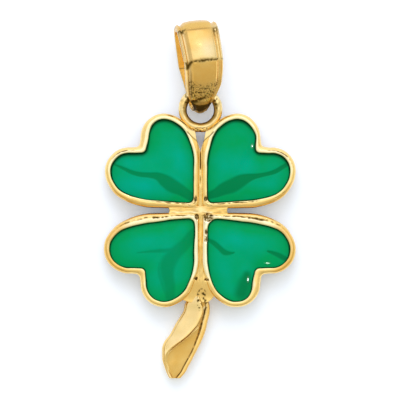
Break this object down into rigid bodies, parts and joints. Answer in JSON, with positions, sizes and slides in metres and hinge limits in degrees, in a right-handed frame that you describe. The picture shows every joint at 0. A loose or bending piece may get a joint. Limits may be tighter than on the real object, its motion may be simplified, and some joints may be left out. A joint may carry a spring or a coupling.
{
  "type": "four leaf clover pendant",
  "caption": "Gold clover pendant with green enamel heart leaves, a leaning stem, a soldered ring and a loose folded bail.",
  "frame": {"origin": "middle of the four leaves on the flat back of the clover, which lies on the surface", "axes": "+X to the right of the face, +Y along the pendant towards the ring and bail, +Z out of the face"},
  "size_m": [0.0128, 0.0239, 0.0035],
  "materials": {
    "frame_gold": "polished yellow gold",
    "bail_gold": "polished yellow gold",
    "green_enamel": "glossy translucent green enamel"
  },
  "bodies": {
    "root": {"clover_frame": "frame_gold", "enamel_upper_left": "green_enamel", "enamel_upper_right": "green_enamel", "enamel_lower_left": "green_enamel", "enamel_lower_right": "green_enamel", "bail": "bail_gold"}
  },
  "joints": []
}
